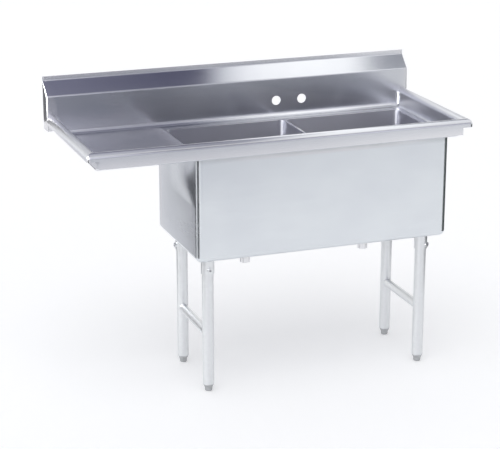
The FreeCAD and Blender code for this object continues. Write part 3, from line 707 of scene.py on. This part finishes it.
def apron():
    """Sheet round the front and both sides, its lower edge rolled in under the bowls."""
    y_bend = APRON_FRONT + APRON_BEND
    bend_steps = 12

    def bend(x, start):
        points = arc((x, y_bend), APRON_BEND, start, start - 90, bend_steps)
        return list(zip(points, [start - 90 * k / bend_steps for k in range(bend_steps + 1)]))

    stations = [((APRON_RIGHT, APRON_REAR), 0.0), ((APRON_RIGHT, 0), 0.0)]
    stations += bend(APRON_RIGHT - APRON_BEND, 0)
    stations += [((x, APRON_FRONT), -90.0) for x in (320, 0)]
    stations += bend(APRON_LEFT + APRON_BEND, -90)
    steps = (3, 6, 10, 15, 20, 27, 35, 44, 54, 75, 105, 140, 180, 230, 290, APRON_REAR - y_bend)
    stations += [((APRON_LEFT, y_bend + step), -180.0) for step in steps]
    limit = math.degrees(math.acos(1 - APRON_HEM / APRON_LOWER_BEND))
    rows, row_gap, last_row = 16, 12, 600
    heights = [DECK - SHEET] + [DECK - row_gap * k for k in range(rows)] + [last_row]
    outer = [(0, z) for z in heights]
    inner = [(SHEET, z) for z in heights]
    centre = APRON_LOW + APRON_LOWER_BEND
    for k in range(11):
        t = math.radians(limit * k / 10)
        for points, radius in ((outer, APRON_LOWER_BEND), (inner, APRON_LOWER_BEND - SHEET)):
            points.append((APRON_LOWER_BEND - radius * math.cos(t), centre - radius * math.sin(t)))
    loop = outer + inner[::-1]
    rings = []
    for (x, y), angle in stations:
        t = math.radians(angle)
        ring = []
        for inset, z in loop:
            u, v = x - inset * math.cos(t), y - inset * math.sin(t)
            ring.append((u - swelling(y, z) if angle == -180 else u, v, z))
        rings.append(ring)
    obj = make_object("apron_sheet", rings_mesh(rings))
    piece(obj, "sink", ["front_apron"], STEEL_APRON)


def leg(place, x, y):
    """Tube with its outer edges broken."""
    profile = [(LEG_RADIUS - 0.5, LEG_END), (LEG_RADIUS, LEG_END + 0.6),
               (LEG_RADIUS, LEG_TOP - 0.6), (LEG_RADIUS - 0.5, LEG_TOP),
               (LEG_BORE, LEG_TOP), (LEG_BORE, LEG_END)]
    obj = make_object("leg_tube_" + place, turned(profile, x, y, 64))
    piece(obj, "sink", ["leg_" + place], TUBE)


def socket(place, x, y):
    """Turned sleeve and plate with the screw's boss."""
    near_axis = 0.02
    profile = [(SOCKET_BORE, SOCKET_END), (SOCKET_RADIUS - 1.2, SOCKET_END),
               (SOCKET_RADIUS - 0.3, SOCKET_END + 0.4), (SOCKET_RADIUS, SOCKET_END + 1.4)]
    centre = (SOCKET_RADIUS + SOCKET_FILLET, LEG_TOP - SOCKET_FILLET)
    profile += arc(centre, SOCKET_FILLET, 180, 90, 6)
    profile += [(SOCKET_PLATE - 0.6, LEG_TOP), (SOCKET_PLATE, LEG_TOP + 0.6), (SOCKET_PLATE, UNDER),
                (near_axis, UNDER), (near_axis, LEG_TOP), (SOCKET_BORE, LEG_TOP)]
    obj = make_object("leg_socket_sleeve_" + place, turned(profile, x, y, 64))
    t = math.radians(SCREW_FACES[place])
    way = (math.cos(t), math.sin(t), 0)

    def from_axis(reach):
        return x + way[0] * reach, y + way[1] * reach, SCREW_Z

    root = SOCKET_BORE + 0.8
    combine(obj, [rod_mesh(from_axis(root), way, BOSS_FACE - root, BOSS_RADIUS, 40)], "UNION")
    combine(obj, [rod_mesh(from_axis(10), way, 30, SCREW_HOLE, 32)])
    bevel(obj, 0.6)
    piece(obj, "sink", ["leg_socket_" + place], SOCKET)


def set_screws():
    """Four set screws, each with a chamfered face and a hexagon key hole."""
    count = 24
    turns = [2 * math.pi * i / count for i in range(count)]
    key = [KEY_HALF / max(abs(math.cos(a - math.pi / 6 - k * math.pi / 3)) for k in range(6))
           for a in turns]
    face = BOSS_FACE + 2
    sections = [(LEG_RADIUS, [0] * count), (LEG_RADIUS, [3.2] * count),
                (LEG_RADIUS + 0.8, [4] * count), (face - 0.7, [4] * count),
                (face, [3.3] * count), (face, key), (face - 4, key), (face - 4.8, [0] * count)]
    up = Vector((0, 0, 1))
    parts = []
    for place, degrees in SCREW_FACES.items():
        end, side = place.split("_")
        t = math.radians(degrees)
        way = Vector((math.cos(t), math.sin(t), 0))
        across = Vector((-math.sin(t), math.cos(t), 0))
        axis = Vector((LEGS_X[side], LEGS_Y[end], SCREW_Z))
        rings = []
        for reach, radii in sections:
            ring = []
            for a, wide in zip(turns, radii):
                spoke = across * math.cos(a) + up * math.sin(a)
                ring.append(tuple(axis + way * reach + spoke * wide))
            rings.append(ring)
        parts.append(rings_mesh(rings, ends=False))
    obj = make_object("set_screws", merge(*parts))
    piece(obj, "sink", ["socket_set_screws"], SCREW)


def side_rail(side, x):
    """Rail tube shaped to the legs, with an uneven weld bead round each end."""
    count, bead_steps = 56, 8
    bead_radius, bead_spread, bead_scale = 2.0, 0.35, 0.9

    def end_point(radius, i, way, beyond=0.0):
        t = 2 * math.pi * i / count
        dx, dz = radius * math.cos(t), radius * math.sin(t)
        leg_y = LEGS_Y["front"] if way > 0 else LEGS_Y["rear"]
        return x + dx, leg_y + way * (math.sqrt(LEG_RADIUS ** 2 - dx ** 2) + beyond), RAIL_Z + dz

    edges = ((RAIL_RADIUS, 1), (RAIL_RADIUS, -1), (RAIL_BORE, -1), (RAIL_BORE, 1), (RAIL_RADIUS, 1))
    rings = [[end_point(radius, i, way) for i in range(count)] for radius, way in edges]
    parts = [rings_mesh(rings, ends=False)]
    for way in (1, -1):
        bead = []
        for k in range(bead_steps):
            a = 2 * math.pi * k / bead_steps
            ring = []
            for i in range(count):
                uneven = noise.noise(Vector((i * 1.7, way * 9 + x * 0.01, 0)))
                size = (bead_radius + bead_spread * uneven) * bead_scale
                ring.append(end_point(RAIL_RADIUS + size * math.cos(a), i, way,
                                      bead_scale + size * math.sin(a)))
            bead.append(ring)
        parts.append(rings_mesh(bead + bead[:1], ends=False))
    obj = make_object("side_rail_tube_" + side, merge(*parts))
    piece(obj, "sink", ["side_rail_" + side], TUBE, sharp=50)


def foot_insert(place, x, y):
    """Threaded plug in the leg's end, with a flange under it."""
    top = LEG_END + INSERT_DEPTH
    profile = [(INSERT_BORE, INSERT_LOW), (LEG_RADIUS - 0.6, INSERT_LOW),
               (LEG_RADIUS, INSERT_LOW + 0.6), (LEG_RADIUS, LEG_END), (LEG_BORE, LEG_END),
               (LEG_BORE, top - 1), (LEG_BORE - 1, top), (9.2, top), (INSERT_BORE, top - 1)]
    obj = make_object("foot_insert_plug_" + place, turned(profile, x, y, 64))
    piece(obj, "sink", ["foot_insert_" + place], INSERT)


def foot(place, x, y):
    """Bullet foot: rounded end, cone, collar and a threaded stem."""
    segments, steps = 40, 6
    profile = [(0, 0)] + arc((10.5, 2.5), 2.5, -90, 0, 5)
    profile += [(14, 13.4), (14.3, 14.2), (19.0, 22.6), (19.5, 23.4), (19.5, 24.6)]
    profile += [(19.1, FOOT_COLLAR), (STEM_ROOT, FOOT_COLLAR)]
    rings = [circle(x, y, z, radius, segments) for radius, z in profile]
    rows = int(STEM_THREAD / THREAD_PITCH * steps)
    for k in range(1, rows + 1):
        z = FOOT_COLLAR + STEM_THREAD * k / rows
        fade = min(1.0, k / (steps * 2), (rows - k) / steps)
        ring = []
        for i in range(segments):
            t = 2 * math.pi * i / segments
            wave = abs(((z / THREAD_PITCH - i / segments) % 1.0) - 0.5) * 2
            radius = STEM_ROOT + THREAD_DEPTH * wave * fade
            ring.append((x + radius * math.cos(t), y + radius * math.sin(t), z))
        rings.append(ring)
    rings += [circle(x, y, STEM_END, 6.4, segments), [(x, y, STEM_END)] * segments]
    obj = make_object("bullet_foot_turning_" + place, rings_mesh(rings, ends=False))
    piece(obj, "foot_" + place, ["bullet_foot_" + place], FOOT, sharp=40)


def hung(profile):
    """Profile whose heights were measured down from the drain's seat."""
    return [(radius, DRAIN_Z - drop) for radius, drop in profile]


def drain(side):
    """Drain body, gasket, locknut, tailpiece, coupling nut and strainer basket of one bowl."""
    x, y = X_BOWLS[side], Y_BOWL
    flange = [(40, -1.2), (41, -2), (55.8, -2), (56.8, -1.4), (57, 0)]
    cup = [(DRAIN_CUP, 0), (DRAIN_CUP, 41.6), (42.2, 42.6), (21.4, 53.8), (21, 54.4),
           (21, DRAIN_END - 0.4), (20.6, DRAIN_END)]
    bore = [(DRAIN_BORE, DRAIN_END), (DRAIN_BORE, 51), (36, 39), (36, 11), (40, 11)]
    obj = make_object("drain_cup_" + side, turned(hung(flange + cup + bore), x, y, 72))
    piece(obj, "sink", ["drain_body_" + side], DRAIN)

    washer = [(DRAIN_HOLE, 4.5), (55.4, 4.5), (56, 4), (56, 2), (55.4, 1.5), (DRAIN_HOLE, 1.5)]
    obj = make_object("drain_washer_" + side, turned(hung(washer), x, y, 72))
    piece(obj, "sink", ["drain_gasket_" + side], RUBBER)

    nut_bore, nut_low, nut_high = DRAIN_CUP + 0.2, 12.5, 4.5
    nut = [(nut_bore, nut_low), (52, nut_low), (52, nut_high), (nut_bore, nut_high)]
    lug = [(47, -7), (59.4, -6), (60, -5), (60, 5), (59.4, 6), (47, 7)]
    lug_heights = (DRAIN_Z - nut_low, DRAIN_Z - 7.5)
    obj = make_object("locknut_ring_" + side, turned(hung(nut), x, y, 96))
    combine(obj, [prism_mesh(x, y, lug, math.radians(60 * i), lug_heights) for i in range(6)],
            "UNION")
    bevel(obj, 0.5)
    piece(obj, "sink", ["drain_locknut_" + side], NUT)

    pipe = [(DRAIN_BORE, 95.6), (17.8, 96), (18.7, 96), (TAIL_RADIUS, 95.5), (TAIL_RADIUS, 75),
            (18.75, 75), (18.75, 70)]
    collar = [(20.7, 70), (21, 69.7), (21, DRAIN_END), (DRAIN_BORE, DRAIN_END)]
    obj = make_object("tailpiece_pipe_" + side, turned(hung(pipe + collar), x, y, 64))
    piece(obj, "sink", ["drain_tailpiece_" + side], DRAIN)

    low, high = 73, 57
    hexagon = [circle(x, y, DRAIN_Z - drop, 30.02, 6) for drop in (low, high)]
    rounding = [(0, low), (26.2, low), (30.4, 70.4), (30.4, 59.6), (26.2, high), (0, high)]
    obj = make_object("coupling_hexagon_" + side, rings_mesh(hexagon))
    combine(obj, [turned(hung(rounding), x, y, 72)], "INTERSECT")
    combine(obj, [rod_mesh((x, y, DRAIN_Z - 70), (0, 0, 1), 20, 21.2, 64),
                  rod_mesh((x, y, DRAIN_Z - 77), (0, 0, 1), 10, TAIL_RADIUS + 0.2, 64)])
    piece(obj, "sink", ["drain_coupling_nut_" + side], NUT)
    basket(side, x, y)


def basket(side, x, y):
    """Pressed strainer cup with holes, slots and a turned lifting knob."""
    low, rim = DRAIN_Z - 32.7, DRAIN_Z - 10.7
    outer, inner, stem, z = 35.4, 34.2, 3.5, low + 26
    cup = [(0, low), (33, low), (34.6, low + 0.7), (outer, low + 2), (outer, rim), (39, rim),
           (39.4, rim + 0.5), (39.2, rim + 1.3), (38.6, rim + 1.6), (inner + 0.8, rim + 1.6),
           (inner, rim + 0.9), (inner, low + 2.6), (33.2, low + 1.5), (32.4, low + 1.2)]
    knob = [(5.2, low + 1.2), (3.9, low + 2.2), (stem, low + 3.6), (stem, z - 1), (4.2, z),
            (9.2, z), (10, z + 0.8), (10, z + 5.6), (9.4, z + 7.2), (8, z + 8), (0, z + 8)]
    obj = make_object("strainer_cup_" + side, turned(cup + knob, x, y, 72))
    cuts = []
    row_gap = 30.7 / 3
    for radius, count in ((stem + row_gap, 6), (stem + 2 * row_gap, 12)):
        for spot in circle(x, y, low - 3, radius, count):
            cuts.append(rod_mesh(spot, (0, 0, 1), 6, 3, 20))
    slots, slot_heights = 12, (low + 5.6, low + 17.6)
    slot = [(32, -2), (38, -2), (38, 2), (32, 2)]
    for i in range(slots):
        cuts.append(prism_mesh(x, y, slot, 2 * math.pi * i / slots, slot_heights))
    combine(obj, [merge(*cuts)])
    piece(obj, "strainer_" + side, ["strainer_basket_" + side], DRAIN)


splash_sheet()
end_cap("left", X_LEFT, 1)
end_cap("right", X_RIGHT, -1)
deck_plate("drainboard_sheet", "drainboard", X_RIM_LEFT + RIM_COVE, X_BOARD)
deck_plate("right_ledge_sheet", "right_ledge", X_LEDGE, X_RIM_RIGHT - RIM_COVE)
bowl("left")
bowl("right")
front_rim()
side_rim("left", X_RIM_LEFT, -1)
side_rim("right", X_RIM_RIGHT, 1)
apron()
for side_name, leg_x in LEGS_X.items():
    side_rail(side_name, leg_x)
    for end_name, leg_y in LEGS_Y.items():
        spot = end_name + "_" + side_name
        leg(spot, leg_x, leg_y)
        socket(spot, leg_x, leg_y)
        foot_insert(spot, leg_x, leg_y)
        foot(spot, leg_x, leg_y)
set_screws()
drain("left")
drain("right")


# Stage, in metres
def plane(name, corners):
    """Flat stage object from its four corners."""
    mesh = bpy.data.meshes.new(name)
    mesh.from_pydata(corners, [], [(0, 1, 2, 3)])
    obj = bpy.data.objects.new(name, mesh)
    scene.collection.objects.link(obj)
    return obj


def level(x0, x1, y0, y1, z):
    """Corners of a level rectangle."""
    return [(x0, y0, z), (x1, y0, z), (x1, y1, z), (x0, y1, z)]


def upright(x0, y0, x1, y1, low, high):
    """Corners of an upright rectangle from one plan point to another."""
    return [(x0, y0, low), (x1, y1, low), (x1, y1, high), (x0, y0, high)]


def shown_rays(nodes, links):
    """1 for camera, glossy and transmission rays, and 0 for the rest."""
    path = nodes.new("ShaderNodeLightPath")
    total = path.outputs["Is Camera Ray"]
    for name in ("Is Glossy Ray", "Is Transmission Ray"):
        total = calculate(nodes, links, "MAXIMUM", total, path.outputs[name])
    return total


def world():
    """White to the camera and in reflections, and softer where it lights the floor."""
    backdrop = bpy.data.worlds.new("studio")
    scene.world = backdrop
    backdrop.use_nodes = True
    nodes, links = backdrop.node_tree.nodes, backdrop.node_tree.links
    shown = nodes["Background"]
    shown.inputs["Color"].default_value = (*WHITE, 1)
    shown.inputs["Strength"].default_value = 1.0
    light = nodes.new("ShaderNodeBackground")
    light.inputs["Color"].default_value = (0.96, 0.97, 1.0, 1)
    light.inputs["Strength"].default_value = 0.68
    mix = nodes.new("ShaderNodeMixShader")
    links.new(shown_rays(nodes, links), mix.inputs["Fac"])
    links.new(light.outputs["Background"], mix.inputs[1])
    links.new(shown.outputs["Background"], mix.inputs[2])
    links.new(mix.outputs["Shader"], nodes["World Output"].inputs["Surface"])


def floor():
    """Pale floor just under the feet."""
    size, z = 14.0, -0.0005
    obj = plane("floor", level(-size, size, -size, size, z))
    material, nodes, links, shader = new_material("pale_floor")
    grain = noise_node(nodes, links, 30.0, EVEN, 2.0)
    tone = ramp(nodes, links, grain, [(0.3, (0.90, 0.90, 0.905)), (0.7, (0.92, 0.92, 0.925))])
    links.new(tone, shader.inputs["Base Color"])
    shader.inputs["Roughness"].default_value = 0.9
    shader.inputs["Specular IOR Level"].default_value = 0.1
    shader.inputs["Emission Color"].default_value = (*WHITE, 1)
    shader.inputs["Emission Strength"].default_value = 0.24
    obj.data.materials.append(material)


def card(name, corners, tones, strength):
    """Studio card that only reflections see. It has one colour, or tones that run along X from 0
    to 1."""
    obj = plane(name, corners)
    material, nodes, links, shader = new_material(name)
    nodes.remove(shader)
    glow = nodes.new("ShaderNodeEmission")
    glow.inputs["Strength"].default_value = strength
    if isinstance(tones, tuple):
        glow.inputs["Color"].default_value = (*tones, 1)
    else:
        links.new(ramp(nodes, links, axis_of(nodes, links, "Generated", "X"), tones),
                  glow.inputs["Color"])
    links.new(glow.outputs["Emission"], nodes["Material Output"].inputs["Surface"])
    obj.data.materials.append(material)
    obj.visible_camera = False
    obj.visible_diffuse = False
    obj.visible_transmission = False
    obj.visible_shadow = False


def placed(tones, x0, x1):
    """Tones whose places are in metres, as parts of a card's width."""
    return [((x - x0) / (x1 - x0), colour) for x, colour in tones]


def sun():
    """Soft lamp that gives the floor the object's shadow."""
    lamp = bpy.data.lights.new("soft_sun", "SUN")
    lamp.energy = 0.62
    lamp.angle = math.radians(50)
    obj = bpy.data.objects.new("soft_sun", lamp)
    obj.rotation_euler = Vector((0.25, 0.35, -1)).to_track_quat("-Z", "Y").to_euler()
    obj.visible_glossy = False
    scene.collection.objects.link(obj)


def camera():
    """The photograph's view, from the left and a little above."""
    azimuth, elevation = math.radians(20.237), math.radians(17.403)
    place = (-2.0214, -5.4072, 2.3371)
    lens = bpy.data.cameras.new("photo_view")
    lens.sensor_fit = "HORIZONTAL"
    lens.sensor_width = 36.0
    lens.lens = 119.94
    lens.clip_end = 100.0
    obj = bpy.data.objects.new("photo_view", lens)
    scene.collection.objects.link(obj)
    ahead = Vector((math.sin(azimuth) * math.cos(elevation),
                    math.cos(azimuth) * math.cos(elevation), -math.sin(elevation)))
    right = Vector((math.cos(azimuth), -math.sin(azimuth), 0))
    turn = Matrix((right, right.cross(ahead), -ahead)).transposed()
    obj.matrix_world = Matrix.Translation(place) @ turn.to_4x4()
    scene.camera = obj


world()
floor()

# Cards over the sink, which the backsplash's slope, the deck and the bowls reflect
SLOPE_TONES = [
    (-0.55, (0.155, 0.155, 0.215)), (-0.25, (0.11, 0.11, 0.16)), (-0.04, (0.08, 0.08, 0.125)),
    (0.085, (0.075, 0.075, 0.12)), (0.15, (0.55, 0.56, 0.6)), (0.26, (0.95, 0.95, 0.96)),
    (0.36, WHITE), (0.75, WHITE), (0.81, (0.5, 0.51, 0.54)), (0.87, (0.3, 0.31, 0.34)),
    (1.0, (0.24, 0.25, 0.28)),
]
NEAR_TONES = [
    (-0.4, (0.36, 0.36, 0.41)), (-0.1, (0.27, 0.27, 0.32)), (0.2, (0.32, 0.32, 0.37)),
    (0.36, (0.6, 0.6, 0.63)), (0.5, WHITE), (0.72, WHITE), (0.87, (0.85, 0.85, 0.87)),
    (1.0, (0.7, 0.7, 0.72)),
]
FAR_TONES = [
    (-0.45, (0.52, 0.52, 0.57)), (-0.3, (0.43, 0.43, 0.48)), (-0.03, (0.30, 0.30, 0.345)),
    (0.12, (0.33, 0.33, 0.375)), (0.27, (0.75, 0.75, 0.78)), (0.42, WHITE), (0.8, WHITE),
    (1.0, (0.8, 0.8, 0.82)),
]
OVER_X = (-1.4, 1.7)
OVER_Z = 1.6
for card_name, near, far, tones, strength in (("slope_card", 0.08, 0.95, SLOPE_TONES, 1.42),
                                              ("near_card", -0.3, 0.08, NEAR_TONES, 1.4),
                                              ("far_card", -0.9, -0.3, FAR_TONES, 1.3)):
    card(card_name, level(*OVER_X, near, far, OVER_Z), placed(tones, *OVER_X), strength)

# Cards ahead of the sink, as greys with a little blue
LEFT_GREYS = [(-1.4, 1.0), (-0.9, 0.8), (-0.6, 0.5), (-0.3, 0.6), (0.0, 0.95), (0.28, 0.95)]
FRONT_GREYS = LEFT_GREYS + [(0.34, 0.36), (0.95, 0.36), (1.5, 0.72), (1.85, 0.85), (2.1, 0.7),
                            (2.4, 0.36)]
HIGH_GREYS = LEFT_GREYS + [(0.34, 0.08), (0.95, 0.08), (1.5, 0.34), (1.85, 0.5), (2.1, 0.5),
                           (2.4, 0.36)]
AHEAD_X = (-6, 6)
AHEAD_Y = -3.4
for card_name, low, high, greys in (("front_card", 1.2, 2.08, FRONT_GREYS),
                                    ("high_front_card", 2.08, 3.1, HIGH_GREYS)):
    tones = [(x, (grey, grey * 0.99, grey * 1.08 + 0.02)) for x, grey in greys]
    card(card_name, upright(AHEAD_X[0], AHEAD_Y, AHEAD_X[1], AHEAD_Y, low, high),
         placed(tones, *AHEAD_X), 1.3)
card("low_front_card", upright(-2, -3.0, 4.0, -3.0, 0.0, 1.2),
     [(0.45, (0.58, 0.59, 0.64)), (0.6, (0.82, 0.83, 0.86))], 1.0)

# Cards at the sides of the sink and behind it
DARK_TONES = [(0.0, (0.02, 0.02, 0.03)), (1.0, (0.03, 0.03, 0.04))]
FACE_TONES = [
    (-1.2, (0.66, 0.66, 0.7)), (-0.85, (0.7, 0.7, 0.74)), (-0.72, (0.6, 0.6, 0.65)),
    (-0.66, (0.66, 0.66, 0.7)), (-0.58, (0.78, 0.78, 0.81)),
]
card("left_card", upright(-1.2, -0.87, -1.19, -0.08, 0.1, 0.8), DARK_TONES, 1.0)
card("right_card", upright(1.42, -0.95, 1.5, 0.8, 0.1, 0.82),
     [(0.0, (0.08, 0.09, 0.09)), (1.0, (0.1, 0.11, 0.11))], 1.0)
card("cap_card", upright(-0.82, 0.45, -0.715, 0.45, 0.865, 1.08),
     [(0.0, (0.12, 0.12, 0.13)), (1.0, (0.13, 0.13, 0.14))], 1.0)
card("face_card", upright(-1.6, 1.0, -0.45, 1.0, 0.0, 0.7), placed(FACE_TONES, -1.6, -0.45), 1.08)
card("shade_card", upright(-0.78, 0.98, -0.655, 0.98, 0.31, 0.6),
     [(0.0, (0.1, 0.1, 0.13)), (0.6, (0.2, 0.2, 0.24)), (1.0, (0.7, 0.7, 0.74))], 1.0)
card("corner_card", upright(-0.87, 0.6, -0.63, 0.6, 0.06, 0.58), DARK_TONES, 1.0)
card("bend_card", [(-1.47, 0.6, 0.0), (-0.87, 0.6, 0.04), (-0.87, 0.6, 0.56), (-1.47, 0.6, 0.5)],
     DARK_TONES, 1.0)
card("left_softbox", upright(-3.2, -2.0, -3.19, 1.2, 1.0, 2.8), WHITE, 9.0)
sun()
camera()
